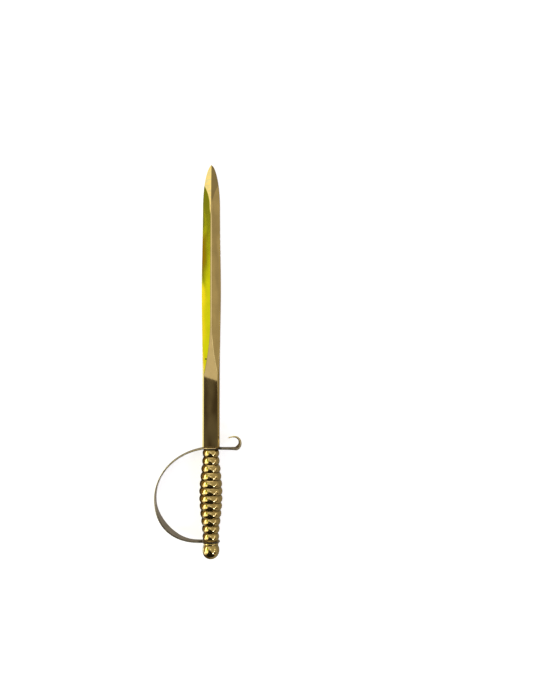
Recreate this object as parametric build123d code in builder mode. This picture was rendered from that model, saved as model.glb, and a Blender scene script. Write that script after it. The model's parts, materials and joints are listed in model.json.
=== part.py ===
from build123d import *
from math import acos, atan2, cos, degrees, hypot, pi, radians, sin, sqrt
import os

# Brass letter opener in the form of a small sabre, in millimetres.
# Every piece is drawn in the hilt's own frame: the tang runs along Y, the blade points to +Y, the knuckle
# bow is on the -X side, and the origin is where the blade's shoulder seats on the guard.

# Blade
BLADE_LENGTH = 142.2  # shoulder to point
BLADE_THICKNESS = 2.6
BLADE_WIDTH = 9.7  # at the belly, its widest place
BELLY_AT = 78.0  # shoulder to belly
RICASSO_WIDTH = 8.6
RICASSO_LENGTH = 36.0
RICASSO_CHAMFER = 0.8
SHOULDER_CHAMFER = 0.3
EDGE_THICKNESS = 0.43  # left at the belly's edges
RIDGE_LAND = 0.5  # flat left along the ridge
GRIND_START = 63.5  # shoulder to where the bevels reach the ridge
GRIND_RADIUS = 500.0  # of the bevels' run-out towards the ricasso
POINT_LENGTH = 22.4
POINT_OVERCUT = 0.8  # how far past the axis each side's ellipse is centred
POINT_THICKNESS = 0.56
POINT_GRIND = 17.0  # length over which the ridge falls to the point
POINT_TILT = 7.3  # degrees that each point facet falls to its side

# Tang
TANG_WIDTH = 4.0
TANG_END_DIAMETER = 2.5
TANG_END_GRIP = 5.0  # length inside the pommel
TANG_SHORTFALL = 1.0  # from the flat tang's end up to the grip's foot

# Guard strip
STRIP_THICKNESS = 0.8
CROSS_WIDTH = 6.4
CROSS_FLAT = 7.0
CROSS_DIAMETER = 8.4  # round eye that the strip widens into under the blade
BOW_WIDTH = 7.0
BOW_REACH = 28.2  # axis to the middle of the strip where the bow is farthest out
BOW_DROP = 25.2  # cross down to that place
BOW_OVERCUT = 1.5  # how far past the axis the upper arc is centred, which gives the bend beside the cross
BOW_LEAN = 9.0  # degrees that the strip's upper edge leans inwards where the bow is farthest out
BOW_SPLAY = 3.0  # degrees that it leans outwards halfway from there to the eye
NECK_WIDTH = 4.8
NECK_LENGTH = 7.2  # axis to where the bow ends in its straight neck
EYE_DIAMETER = 9.0
QUILLON_RUN = 8.25
QUILLON_LEAN = 4.0  # degrees that its upper edge leans away from the blade where the curl starts
CURL_RADIUS = 2.9
CURL_WIDTH = 5.6
CURL_FLARE = 16.0  # degrees that the curl's upper edge leans outwards
TAIL_RADIUS = 7.7
TAIL_TURN = 21.0
TAIL_WIDTH = 2.8
TAIL_THICKNESS = 0.5

# Grip
GRIP_LENGTH = 45.4
GRIP_BELLY = 11.7
GRIP_END = 8.25
RIB_COUNT = 12
RIB_DEPTH = 0.7
RIB_LAND = 2.4  # flat left on each rib's crown

# Pommel
POMMEL_NECK = 7.8
POMMEL_WIDTH = 8.6
POMMEL_BALL_AT = 3.9  # neck's top to the ball's widest place
POMMEL_DOME = 4.5  # from there to the end
POMMEL_FACETS = 10  # bands that the turning leaves on the ball

# Clearances, each to one side
SLOT_CLEARANCE = 0.05
BORE_CLEARANCE = 0.1
EYE_CLEARANCE = 0.1
POMMEL_CLEARANCE = 0.05
POMMEL_END_GAP = 0.4

# Depths below the guard's seat, along -Y
grip_top = STRIP_THICKNESS
grip_foot = grip_top + GRIP_LENGTH
pommel_top = grip_foot + STRIP_THICKNESS
ball_middle = pommel_top + POMMEL_BALL_AT
tang_flat = grip_foot - TANG_SHORTFALL
tang_end = pommel_top + TANG_END_GRIP

# Blade section
half_thickness = BLADE_THICKNESS / 2
half_ricasso = RICASSO_WIDTH / 2
point_start = BLADE_LENGTH - POINT_LENGTH
bevel_drop = half_thickness - EDGE_THICKNESS / 2
bevel_angle = atan2(bevel_drop, BLADE_WIDTH / 2 - RIDGE_LAND / 2)
point_drop = half_thickness - POINT_THICKNESS / 2
cutter_height = BLADE_THICKNESS


def grind_plane(across: float, along: float, tilt: float) -> Plane:
    """Side-view plane of a grinding cut that starts on the upper face and tilts down to +X, in radians."""
    return Plane(
        origin=(across, along, half_thickness),
        x_dir=(0, 1, 0),
        z_dir=(cos(tilt), 0, -sin(tilt)),
    )


# What the wheel takes off for the four long bevels, with its round run-out towards the ricasso
with BuildPart() as bevel_cut:
    with BuildSketch(grind_plane(RIDGE_LAND / 2, GRIND_START, bevel_angle)):
        with BuildLine():
            run_out = sqrt(2 * GRIND_RADIUS * cutter_height - cutter_height**2)
            flat = Line((0, 0), (BLADE_LENGTH, 0))
            rim = TangentArc((0, 0), (-run_out, cutter_height), tangent=(-1, 0))
            Polyline(flat @ 1, (BLADE_LENGTH, cutter_height), rim @ 1)
        make_face()
    extrude(amount=BLADE_WIDTH)
    mirror(about=Plane.YZ)
    mirror(about=Plane.XY)

# What is ground off the ridge to thin the point
with BuildPart() as point_cut:
    with BuildSketch(grind_plane(0, BLADE_LENGTH - POINT_GRIND, radians(POINT_TILT))):
        with BuildLine():
            reach = 2 * POINT_GRIND
            fall = reach * point_drop / POINT_GRIND
            Polyline((0, 0), (reach, -fall), (reach, cutter_height), (0, cutter_height), close=True)
        make_face()
    extrude(amount=BLADE_WIDTH)
    mirror(about=Plane.YZ)
    mirror(about=Plane.XY)

with BuildPart() as blade:
    # Leaf outline: straight ricasso, swelling belly, and a point where two ellipses meet on the axis
    with BuildSketch():
        with BuildLine():
            ellipse_width = half_ricasso + POINT_OVERCUT
            ellipse_end = acos(POINT_OVERCUT / ellipse_width)
            ellipse_length = POINT_LENGTH / sqrt(1 - (POINT_OVERCUT / ellipse_width) ** 2)
            shoulder = Line((0, 0), (half_ricasso, 0))
            flank = Line(shoulder @ 1, (half_ricasso, RICASSO_LENGTH))
            Spline(
                flank @ 1,
                (BLADE_WIDTH / 2, BELLY_AT),
                (half_ricasso, point_start),
                tangents=((0, 1), (0, 1)),
            )
            EllipticalCenterArc(
                (-POINT_OVERCUT, point_start),
                ellipse_width,
                ellipse_length,
                arc_size=degrees(ellipse_end),
            )
            mirror(about=Plane.YZ)
        make_face()
    extrude(amount=half_thickness, both=True)
    corners = edges().filter_by(Axis.Z, reverse=True).filter_by(Axis.X, reverse=True)
    chamfer(corners.filter_by_position(Axis.Y, 0, point_start), RICASSO_CHAMFER)
    chamfer(edges().filter_by(Axis.X).group_by(Axis.Y)[0], SHOULDER_CHAMFER)
    add(bevel_cut.part, mode=Mode.SUBTRACT)
    add(point_cut.part, mode=Mode.SUBTRACT)
    # Tang: flat through the grip, round where the pommel takes it
    with BuildSketch(Plane.XZ):
        Rectangle(TANG_WIDTH, BLADE_THICKNESS)
    extrude(amount=tang_flat)
    with BuildSketch(Plane.XZ.offset(tang_flat)):
        Circle(TANG_END_DIAMETER / 2)
    extrude(amount=tang_end - tang_flat)


def strip_plane(line: Edge, at: float, lean: float) -> Plane:
    """Plane across the strip at a share of its line, its upper edge leaning left of the line in degrees."""
    heading = line % at
    upright = Vector(0, 0, 1).rotate(Axis((0, 0, 0), heading), -lean)
    return Plane(origin=line @ at, x_dir=upright, z_dir=heading)


with BuildPart() as guard:
    strip_middle = -STRIP_THICKNESS / 2
    eye_middle = -(grip_foot + STRIP_THICKNESS / 2)
    bow_start = CROSS_FLAT / 2
    # Flat seat that the blade's shoulder and the grip clamp between them
    with BuildSketch(Plane.XZ):
        Rectangle(CROSS_FLAT, CROSS_WIDTH)
        Circle(CROSS_DIAMETER / 2)
    extrude(amount=STRIP_THICKNESS)
    # Knuckle bow, from the seat round to a straight neck, with the lean that bending by hand gave it
    with BuildLine() as bow_path:
        upper_reach = BOW_REACH + BOW_OVERCUT
        upper_bend = acos((bow_start + BOW_OVERCUT) / upper_reach)
        upper = EllipticalCenterArc(
            (BOW_OVERCUT, strip_middle - BOW_DROP),
            upper_reach,
            BOW_DROP / sin(upper_bend),
            start_angle=180 - degrees(upper_bend),
            arc_size=degrees(upper_bend),
        )
        lower = EllipticalCenterArc(
            (-NECK_LENGTH, strip_middle - BOW_DROP),
            BOW_REACH - NECK_LENGTH,
            strip_middle - BOW_DROP - eye_middle,
            start_angle=180,
            arc_size=90,
        )
    bow_sections = (
        (upper, 0, CROSS_WIDTH, 0),
        (lower, 0, BOW_WIDTH, BOW_LEAN),
        (lower, 0.5, BOW_WIDTH, -BOW_SPLAY),
        (lower, 1, NECK_WIDTH, 0),
    )
    for line, at, width, lean in bow_sections:
        with BuildSketch(strip_plane(line, at, lean)):
            Rectangle(width, STRIP_THICKNESS)
    sweep(path=bow_path.line, multisection=True)
    with BuildSketch(strip_plane(lower, 1, 0)):
        Rectangle(NECK_WIDTH, STRIP_THICKNESS)
    extrude(amount=NECK_LENGTH - EYE_DIAMETER / 4)
    # Quillon: a straight run that starts to lean, then the curl, which flares towards its upper edge
    run = Line((bow_start, strip_middle), (bow_start + QUILLON_RUN, strip_middle))
    for at, width, lean in ((0, CROSS_WIDTH, 0), (1, CURL_WIDTH, -QUILLON_LEAN)):
        with BuildSketch(strip_plane(run, at, lean)):
            Rectangle(width, STRIP_THICKNESS)
    loft()
    with BuildLine() as curl_path:
        curl = JernArc(run @ 1, run % 1, CURL_RADIUS, 180)
        tail = JernArc(curl @ 1, curl % 1, TAIL_RADIUS, TAIL_TURN)
    curl_sections = (
        (curl, 0, CURL_WIDTH, STRIP_THICKNESS, -QUILLON_LEAN),
        (curl, 0.3, CURL_WIDTH, STRIP_THICKNESS, -CURL_FLARE),
        (tail, 1, TAIL_WIDTH, TAIL_THICKNESS, 0),
    )
    for line, at, width, thickness, lean in curl_sections:
        with BuildSketch(strip_plane(line, at, lean)):
            Rectangle(width, thickness)
    sweep(path=curl_path.line, multisection=True)
    # Eye under the pommel, and the slot for the tang
    with BuildSketch(Plane.XZ.offset(grip_foot)):
        Circle(EYE_DIAMETER / 2)
    extrude(amount=STRIP_THICKNESS)
    with BuildSketch(Plane.XZ.offset(grip_foot)):
        Circle(TANG_END_DIAMETER / 2 + EYE_CLEARANCE)
    extrude(amount=STRIP_THICKNESS, mode=Mode.SUBTRACT)
    with BuildSketch(Plane.XZ):
        Rectangle(TANG_WIDTH + 2 * SLOT_CLEARANCE, BLADE_THICKNESS + 2 * SLOT_CLEARANCE)
    extrude(amount=STRIP_THICKNESS, mode=Mode.SUBTRACT)

with BuildPart() as grip:
    bore = hypot(TANG_WIDTH, BLADE_THICKNESS) / 2 + BORE_CLEARANCE
    rib_pitch = GRIP_LENGTH / RIB_COUNT

    def barrel(ribs: float, sunk: float) -> tuple[float, float]:
        """Point on the outside, a number of ribs below the grip's top and sunk below the barrel's swell."""
        swell = cos(pi * (ribs / RIB_COUNT - 0.5)) ** 2
        return (GRIP_END + (GRIP_BELLY - GRIP_END) * swell) / 2 - sunk, -grip_top - ribs * rib_pitch

    turned = [barrel(0, RIB_DEPTH)]
    for rib in range(RIB_COUNT):
        crown_radius, crown_at = barrel(rib + 0.5, 0)
        turned.append((crown_radius, crown_at + RIB_LAND / 2))
        turned.append((crown_radius, crown_at - RIB_LAND / 2))
        turned.append(barrel(rib + 1, RIB_DEPTH))
    with BuildSketch():
        with BuildLine():
            outside = Polyline(*turned)
            Polyline(outside @ 1, (bore, -grip_foot), (bore, -grip_top), outside @ 0)
        make_face()
    revolve(axis=Axis.Y)

with BuildPart() as pommel:
    neck_radius = POMMEL_NECK / 2
    ball_radius = POMMEL_WIDTH / 2
    socket = TANG_END_DIAMETER / 2 + POMMEL_CLEARANCE
    with BuildSketch():
        with BuildLine():
            ball_rise = degrees(acos(neck_radius / ball_radius))
            egg = EllipticalCenterArc(
                (0, -ball_middle),
                ball_radius,
                POMMEL_DOME,
                start_angle=-90,
                arc_size=90 + ball_rise,
                mode=Mode.PRIVATE,
            )
            ball = Polyline(*[egg @ (step / POMMEL_FACETS) for step in range(POMMEL_FACETS + 1)])
            Polyline(ball @ 1, (neck_radius, -pommel_top), (0, -pommel_top), ball @ 0)
        make_face()
    revolve(axis=Axis.Y)
    with BuildSketch(Plane.XZ.offset(pommel_top)):
        Circle(socket)
    extrude(amount=TANG_END_GRIP + POMMEL_END_GAP, mode=Mode.SUBTRACT)

# It lies on three feet: the grip's belly, the ridge where the point starts to thin, and the bow's edge
belly_foot = Vector(0, -(grip_top + grip_foot) / 2, -GRIP_BELLY / 2)
ridge_foot = Vector(0, BLADE_LENGTH - POINT_GRIND, -half_thickness)
bow_lean = radians(BOW_LEAN)
bow_foot = Vector(
    -BOW_REACH - STRIP_THICKNESS / 2 * cos(bow_lean) - BOW_WIDTH / 2 * sin(bow_lean),
    strip_middle - BOW_DROP,
    STRIP_THICKNESS / 2 * sin(bow_lean) - BOW_WIDTH / 2 * cos(bow_lean),
)
up = (ridge_foot - belly_foot).cross(bow_foot - belly_foot).normalized()
desk = Plane(origin=belly_foot, x_dir=Vector(0, 1, 0).cross(up), z_dir=up)
lying = desk.location.inverse()

pieces = {"blade": blade, "guard": guard, "grip": grip, "pommel": pommel}
box = Compound([piece.part.moved(lying) for piece in pieces.values()]).bounding_box()
resting = Location((-box.center().X, -box.center().Y, -box.min.Z)) * lying

os.makedirs("parts", exist_ok=True)
for name, piece in pieces.items():
    piece.part.label = name
    piece.part.location = resting
    export_step(piece.part, f"parts/{name}.step")
print("seat", resting.position, "turned", resting.orientation)
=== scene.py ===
"""Looks of a brass letter opener in the form of a small sabre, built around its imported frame."""

import json
import logging
import math
from abc import ABC, abstractmethod
from dataclasses import dataclass
from enum import Enum
from functools import partialmethod
from typing import Any, ClassVar

import bmesh
import bpy
import numpy as np
from mathutils import Matrix, Vector


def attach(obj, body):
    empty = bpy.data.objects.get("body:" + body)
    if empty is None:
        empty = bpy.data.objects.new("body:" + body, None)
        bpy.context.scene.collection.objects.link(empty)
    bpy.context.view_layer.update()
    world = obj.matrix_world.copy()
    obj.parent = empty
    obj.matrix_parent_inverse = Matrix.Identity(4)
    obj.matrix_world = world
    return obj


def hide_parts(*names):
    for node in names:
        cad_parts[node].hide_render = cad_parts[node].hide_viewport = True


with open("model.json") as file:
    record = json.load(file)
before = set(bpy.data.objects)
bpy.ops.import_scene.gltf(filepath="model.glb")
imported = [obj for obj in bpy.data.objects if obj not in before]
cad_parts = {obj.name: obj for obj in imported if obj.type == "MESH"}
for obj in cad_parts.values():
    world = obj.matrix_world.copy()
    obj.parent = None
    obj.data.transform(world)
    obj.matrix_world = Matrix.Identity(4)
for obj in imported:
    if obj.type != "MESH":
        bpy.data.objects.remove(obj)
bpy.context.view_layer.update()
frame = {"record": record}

MM = 0.001
WELD = 1e-4  # points closer than this, in millimetres, are one
BODY = "root"
CAVITY = "cavity"
ALONG = "along"
ACROSS = "across"
EDGE = "edge"
CARD_MAP = "card"
VECTOR = "FLOAT_VECTOR"
UP = (0.0, 0.0, 1.0)
ORIGIN = (0.0, 0.0, 0.0)
Colour = tuple[float, float, float]
Span = tuple[float, float]
Run = tuple[float, float, int]
Corners = tuple[tuple[float, float, float], ...]
Socket = bpy.types.NodeSocket
SOCKET_TYPES = {
    float: "NodeSocketFloat",
    int: "NodeSocketInt",
    tuple: "NodeSocketVector",
    type(None): "NodeSocketGeometry",
}
log = logging.getLogger("letter_opener")


@dataclass(frozen=True)
class HiltFrame:
    """The hilt's own axes: blade along +Y, knuckle bow on the -X side, origin at the blade's seat."""

    matrix: Matrix

    @classmethod
    def from_record(cls, record: dict[str, Any]) -> "HiltFrame":
        """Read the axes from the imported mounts.

        Args:
            record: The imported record.

        Returns:
            The hilt's frame.
        """
        mounts = {mount["name"]: mount for mount in record["mounts"]}
        along = Vector(mounts["blade_sheath"]["axis"]).normalized()
        across = along.cross(Vector(mounts["ricasso_front"]["axis"])).normalized()
        matrix = Matrix((across, along, across.cross(along))).transposed().to_4x4()
        matrix.translation = Vector(mounts["blade_sheath"]["pos_m"])
        return cls(matrix)

    def place(self, mesh: bpy.types.Mesh) -> None:
        """Move a mesh from millimetres on the hilt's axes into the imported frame."""
        mesh.transform(self.matrix @ Matrix.Scale(MM, 4))
        mesh.update()


class TreeKind(Enum):
    """A type of node tree, with the type of the sockets that its groups put out."""

    SHADER = ("ShaderNodeTree", "NodeSocketFloat")
    GEOMETRY = ("GeometryNodeTree", "NodeSocketGeometry")


class Wire:
    """A value that runs through a node tree. Plain arithmetic on it adds the nodes that it needs."""

    def __init__(self, sheet: "NodeSheet", socket: Socket) -> None:
        """Keep the sheet and the socket that the value comes out of."""
        self.sheet = sheet
        self.socket = socket

    def worked(self, operation: str, *others: Any) -> "Wire":
        """Return what a Math node makes of this value and the others."""
        return self.sheet.math(operation, self, *others)

    def __rsub__(self, other: Any) -> "Wire":
        """Return a plain number less this value."""
        return self.sheet.math("SUBTRACT", other, self)

    __add__ = partialmethod(worked, "ADD")
    __sub__ = partialmethod(worked, "SUBTRACT")
    __mul__ = partialmethod(worked, "MULTIPLY")
    __truediv__ = partialmethod(worked, "DIVIDE")
    __gt__ = partialmethod(worked, "GREATER_THAN")
    __lt__ = partialmethod(worked, "LESS_THAN")
    __abs__ = partialmethod(worked, "ABSOLUTE")


class NodeSheet:
    """A node tree that is being drawn, with short ways to add and join its nodes."""

    def __init__(self, tree: bpy.types.NodeTree) -> None:
        """Start on a tree. Only a group has a source and a result.

        Args:
            tree: The tree that the nodes go into.
        """
        self.tree = tree
        self.source: dict[str, Wire] = {}
        self.result: dict[str, Socket] = {}

    @classmethod
    def group(cls, name: str, kind: TreeKind, inputs: dict[str, Any], *outputs: str) -> "NodeSheet":
        """Start a node group with named sockets.

        Args:
            name: The group's name.
            kind: The type of tree.
            inputs: Each input's default, which also sets its type, with None for geometry.
            outputs: The names of the outputs.

        Returns:
            The sheet, with the group's inputs as its source and the group's outputs as its result.
        """
        tree_type, output_type = kind.value
        sheet = cls(bpy.data.node_groups.new(name, tree_type))
        interface = sheet.tree.interface
        for label, default in inputs.items():
            socket = interface.new_socket(label, in_out="INPUT", socket_type=SOCKET_TYPES[type(default)])
            if default is not None:
                socket.default_value = default
        for label in outputs:
            interface.new_socket(label, in_out="OUTPUT", socket_type=output_type)
        given = sheet.tree.nodes.new("NodeGroupInput").outputs
        taken = sheet.tree.nodes.new("NodeGroupOutput").inputs
        sheet.source = {label: Wire(sheet, given[label]) for label in inputs}
        sheet.result = {label: taken[label] for label in outputs}
        return sheet

    @classmethod
    def cleared(cls, owner: bpy.types.Material | bpy.types.World) -> "NodeSheet":
        """Start a material's or a world's own tree.

        Args:
            owner: The material or world.

        Returns:
            The empty sheet.
        """
        owner.use_nodes = True
        owner.node_tree.nodes.clear()
        return cls(owner.node_tree)

    def feed(self, socket: Socket, value: Any) -> None:
        """Join a socket to where its value comes from, or set it.

        Args:
            socket: The input.
            value: A wire, another socket or a plain value.
        """
        if isinstance(value, Wire):
            value = value.socket
        if isinstance(value, Socket):
            self.tree.links.new(value, socket)
        else:
            socket.default_value = value

    def node(self, kind: str, settings: dict[str, Any] | None = None, **inputs: Any) -> bpy.types.Node:
        """Add a node.

        Args:
            kind: Blender's name for the type of node.
            settings: The node's own attributes, such as its operation.
            inputs: What feeds each input, with underscores for spaces.

        Returns:
            The node.
        """
        made = self.tree.nodes.new(kind)
        for name, setting in (settings or {}).items():
            setattr(made, name, setting)
        for name, value in inputs.items():
            self.feed(made.inputs[name.replace("_", " ")], value)
        return made

    def out(
        self, kind: str, settings: dict[str, Any] | None = None, output: int | str = 0, **inputs: Any
    ) -> Wire:
        """Add a node and take one of its outputs.

        Args:
            kind: Blender's name for the type of node.
            settings: The node's own attributes.
            output: Which output, by place or name.
            inputs: What feeds each input, with underscores for spaces.

        Returns:
            The output.
        """
        return Wire(self, self.node(kind, settings, **inputs).outputs[output])

    def in_order(self, kind: str, settings: dict[str, Any], *values: Any) -> Wire:
        """Add a node whose inputs are fed in their order.

        Args:
            kind: Blender's name for the type of node.
            settings: The node's own attributes.
            values: What feeds the inputs.

        Returns:
            The node's first output.
        """
        made = self.node(kind, settings)
        for socket, value in zip(made.inputs, values):
            self.feed(socket, value)
        return Wire(self, made.outputs[0])

    def math(self, operation: str, *values: Any) -> Wire:
        """Return the result of a Math node on these values."""
        return self.in_order("ShaderNodeMath", {"operation": operation}, *values)

    def vector(self, operation: str, *values: Any) -> Wire:
        """Return the vector that a Vector Math node makes of these values."""
        return self.in_order("ShaderNodeVectorMath", {"operation": operation}, *values)

    def scaled(self, vector: Any, factor: Any) -> Wire:
        """Return a vector times a number."""
        return self.out("ShaderNodeVectorMath", {"operation": "SCALE"}, Vector=vector, Scale=factor)

    def combine(self, x: Any, y: Any, z: Any) -> Wire:
        """Return a vector made of three numbers."""
        return self.in_order("ShaderNodeCombineXYZ", {}, x, y, z)

    def parts(self, vector: Any) -> dict[str, Wire]:
        """Return a vector's three numbers by the names of their axes."""
        return self.outputs(self.node("ShaderNodeSeparateXYZ", Vector=vector))

    def ramp(self, value: Any, low: Any, high: Any) -> Wire:
        """Return 0 at the low value, 1 at the high one and a straight rise between, held at both ends."""
        return self.in_order("ShaderNodeMapRange", {"clamp": True}, value, low, high)

    def blend(self, share: Wire, first: Any, second: Any) -> Wire:
        """Return a number that goes from the first one to the second as the share goes from 0 to 1."""
        return share * (second - first) + first

    def noise(self, vector: Any, scale: float, detail: float) -> Wire:
        """Return a noise value between 0 and 1."""
        return self.out("ShaderNodeTexNoise", Vector=vector, Scale=scale, Detail=detail)

    def attribute(self, name: str) -> Wire:
        """Return a value that the mesh carries, for a material."""
        return self.out("ShaderNodeAttribute", {"attribute_name": name}, "Fac")

    def mix(self, factor: Any, first: Any, second: Any) -> Wire:
        """Go from one colour to another.

        Args:
            factor: How far to go, held between 0 and 1.
            first: The colour at 0, as a wire or three numbers.
            second: The colour at 1, likewise.

        Returns:
            The colour.
        """
        made = self.node("ShaderNodeMix", {"data_type": "RGBA"})
        sockets = {socket.identifier: socket for socket in (*made.inputs, *made.outputs)}
        for name, value in (("Factor_Float", factor), ("A_Color", first), ("B_Color", second)):
            self.feed(sockets[name], (*value, 1.0) if isinstance(value, tuple) else value)
        return Wire(self, sockets["Result_Color"])

    def outputs(self, node: bpy.types.Node) -> dict[str, Wire]:
        """Return a node's outputs by name."""
        return {socket.name: Wire(self, socket) for socket in node.outputs}

    def place_group(self, group: bpy.types.NodeTree, **inputs: Any) -> dict[str, Wire]:
        """Add a shader group with its own values and return its outputs by name."""
        return self.outputs(self.node("ShaderNodeGroup", {"node_tree": group}, **inputs))

    def store(self, geometry: Any, name: str, value: Any, kind: str = "FLOAT") -> Wire:
        """Keep a value on each point of a geometry.

        Args:
            geometry: The geometry.
            name: The name to keep it under.
            value: The value.
            kind: Blender's name for its type.

        Returns:
            The geometry with the value.
        """
        settings = {"data_type": kind, "domain": "POINT"}
        return self.out(
            "GeometryNodeStoreNamedAttribute", settings, Geometry=geometry, Name=name, Value=value
        )

    def kept(self, name: str, kind: str = "FLOAT") -> Wire:
        """Return a value that was kept on a geometry's points."""
        return self.out("GeometryNodeInputNamedAttribute", {"data_type": kind}, "Attribute", Name=name)

    def close(self, geometry: Any, material: bpy.types.Material) -> bpy.types.NodeTree:
        """End a geometry tree in one plain mesh with its finish.

        Args:
            geometry: What the tree has made.
            material: The finish.

        Returns:
            The tree.
        """
        plain = self.out("GeometryNodeRealizeInstances", Geometry=geometry)
        painted = self.out("GeometryNodeSetMaterial", Geometry=plain, Material=material)
        self.feed(self.result["Geometry"], painted)
        return self.tree


@dataclass(frozen=True)
class Buffing:
    """Fine lines left by a wheel or a belt, stretched along one direction, and a few deeper scratches."""

    wander_scale: float = 0.12
    scratch_shift: Colour = (31.0, 17.0, 5.0)
    scratch_scale: float = 0.45
    scratch_span: Span = (0.66, 0.74)

    def group(self) -> bpy.types.NodeTree:
        """Draw the shader group.

        Returns:
            The group, which puts out the lines and the scratches.
        """
        inputs = {"Vector": ORIGIN, "Stretch": (1.0, 1.0, 1.0)}
        sheet = NodeSheet.group("Buffing lines", TreeKind.SHADER, inputs, "Lines", "Scratch")
        place = sheet.source["Vector"]
        wander = sheet.noise(place, self.wander_scale, 1.0)
        bent = sheet.vector("ADD", place, sheet.combine(wander, wander, wander))
        stretched = sheet.vector("MULTIPLY", bent, sheet.source["Stretch"])
        sheet.feed(sheet.result["Lines"], sheet.noise(stretched, 1.0, 4.0))
        shifted = sheet.vector("ADD", stretched, self.scratch_shift)
        sparse = sheet.noise(shifted, self.scratch_scale, 2.0)
        sheet.feed(sheet.result["Scratch"], sheet.ramp(sparse, *self.scratch_span))
        return sheet.tree


@dataclass(frozen=True)
class Tarnish:
    """Dark brown film in hollows, with faint clouds of it elsewhere; on the guard's darkened edges the same
    film is painted shade.
    """

    breakup_scale: float = 0.9
    breakup: float = 0.5
    film_end: float = 1.05
    cloud_scale: float = 0.16
    cloud_span: Span = (0.45, 0.8)

    def group(self) -> bpy.types.NodeTree:
        """Draw the shader group.

        Returns:
            The group, which puts out the film's mask.
        """
        inputs = {"Vector": ORIGIN, "Cavity": 0.0, "Start": 0.6, "Clouds": 0.2}
        sheet = NodeSheet.group("Tarnish", TreeKind.SHADER, inputs, "Mask")
        source = sheet.source
        uneven = sheet.noise(source["Vector"], self.breakup_scale, 3.0) * self.breakup - self.breakup / 2
        film = sheet.ramp(source["Cavity"] + uneven, source["Start"], self.film_end)
        cloud = sheet.ramp(sheet.noise(source["Vector"], self.cloud_scale, 4.0), *self.cloud_span)
        sheet.feed(sheet.result["Mask"], sheet.math("MAXIMUM", film, cloud * source["Clouds"]))
        return sheet.tree


@dataclass(frozen=True)
class Handling:
    """Smears from fingers and small dings from use."""

    smear_scale: float = 0.11
    smear_span: Span = (0.4, 0.72)
    ding_scale: float = 0.35
    ding_radius: float = 0.05

    def group(self) -> bpy.types.NodeTree:
        """Draw the shader group.

        Returns:
            The group, which puts out the smears and the dings.
        """
        sheet = NodeSheet.group("Handling", TreeKind.SHADER, {"Vector": ORIGIN}, "Smear", "Ding")
        place = sheet.source["Vector"]
        smear = sheet.noise(sheet.scaled(place, self.smear_scale), 1.0, 5.0)
        sheet.feed(sheet.result["Smear"], sheet.ramp(smear, *self.smear_span))
        cell = sheet.out("ShaderNodeTexVoronoi", None, "Distance", Vector=place, Scale=self.ding_scale)
        sheet.feed(sheet.result["Ding"], sheet.ramp(cell, self.ding_radius, 0.0))
        return sheet.tree


class Effects:
    """The shader groups that every finish uses. Their vectors are in millimetres."""

    def __init__(self) -> None:
        """Draw each group once."""
        self.buffing = Buffing().group()
        self.tarnish = Tarnish().group()
        self.handling = Handling().group()


class Grain(Enum):
    """How far the buffing lines repeat per millimetre across, along and through the hilt's axes."""

    ALONG_BLADE = (9.0, 0.22, 9.0)
    ROUND_AXIS = (0.5, 7.0, 0.5)
    ALONG_STRIP = (7.0, 0.16, 1.0)


@dataclass(frozen=True)
class BrassFinish:
    """One brass surface: its colours, its polish and the marks on it."""

    slot: str
    fresh: Colour
    dull: Colour
    rubbed: Colour
    film: Colour
    grain: Grain
    polish: Span
    lines: float
    scoring: float
    film_start: float
    film_blur: float
    clouds: float
    rub_breakup: Span = (0.25, 0.5)
    scratch_depth: float = 0.5
    ding_depth: float = 1.5
    relief: float = 0.02

    def material(self, hilt: HiltFrame, effects: Effects) -> bpy.types.Material:
        """Draw the finish as a material.

        Args:
            hilt: The frame that the patterns follow.
            effects: The shared shader groups.

        Returns:
            The material, which has the slot's name.
        """
        made = bpy.data.materials.new(self.slot)
        sheet = NodeSheet.cleared(made)
        spot = self.pattern_vector(sheet, hilt)
        body = self.solid_vector(sheet, hilt)
        buffing = sheet.place_group(effects.buffing, Vector=spot, Stretch=self.grain.value)
        handling = sheet.place_group(effects.handling, Vector=body)
        film = sheet.place_group(
            effects.tarnish,
            Vector=body,
            Cavity=sheet.attribute(CAVITY),
            Start=self.film_start,
            Clouds=self.clouds,
        )["Mask"]
        lines = buffing["Lines"]
        smear = handling["Smear"]
        brass = sheet.mix(smear, self.fresh, self.dull)
        bared = sheet.attribute(EDGE) * sheet.ramp(lines, *self.rub_breakup)
        brass = sheet.mix(bared, brass, self.rubbed)
        low, high = self.polish
        roughness = smear * (high - low) + low + lines * self.lines + film * self.film_blur
        height = lines - buffing["Scratch"] * self.scratch_depth - handling["Ding"] * self.ding_depth
        bump = sheet.out("ShaderNodeBump", Strength=self.scoring, Distance=self.relief * MM, Height=height)
        metal = sheet.out(
            "ShaderNodeBsdfPrincipled",
            Base_Color=sheet.mix(film, brass, self.film),
            Metallic=1.0,
            Roughness=roughness,
            Normal=bump,
        )
        sheet.node("ShaderNodeOutputMaterial", Surface=metal)
        return made

    @staticmethod
    def solid_vector(sheet: NodeSheet, hilt: HiltFrame) -> Wire:
        """Find the place on the hilt's axes.

        Args:
            sheet: The material's tree.
            hilt: The frame.

        Returns:
            The place, in millimetres.
        """
        place, turn, _ = hilt.matrix.decompose()
        return sheet.out(
            "ShaderNodeMapping",
            {"vector_type": "TEXTURE"},
            Vector=sheet.out("ShaderNodeTexCoord", output="Object"),
            Location=tuple(place),
            Rotation=tuple(turn.to_euler()),
            Scale=(MM, MM, MM),
        )

    def pattern_vector(self, sheet: NodeSheet, hilt: HiltFrame) -> Wire:
        """Find the place that the buffing lines follow.

        Args:
            sheet: The material's tree.
            hilt: The frame.

        Returns:
            The place along and across the strip, or on the hilt's axes, in millimetres.
        """
        if self.grain is Grain.ALONG_STRIP:
            return sheet.combine(sheet.attribute(ACROSS), sheet.attribute(ALONG), 0.0)
        return self.solid_vector(sheet, hilt)


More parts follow.
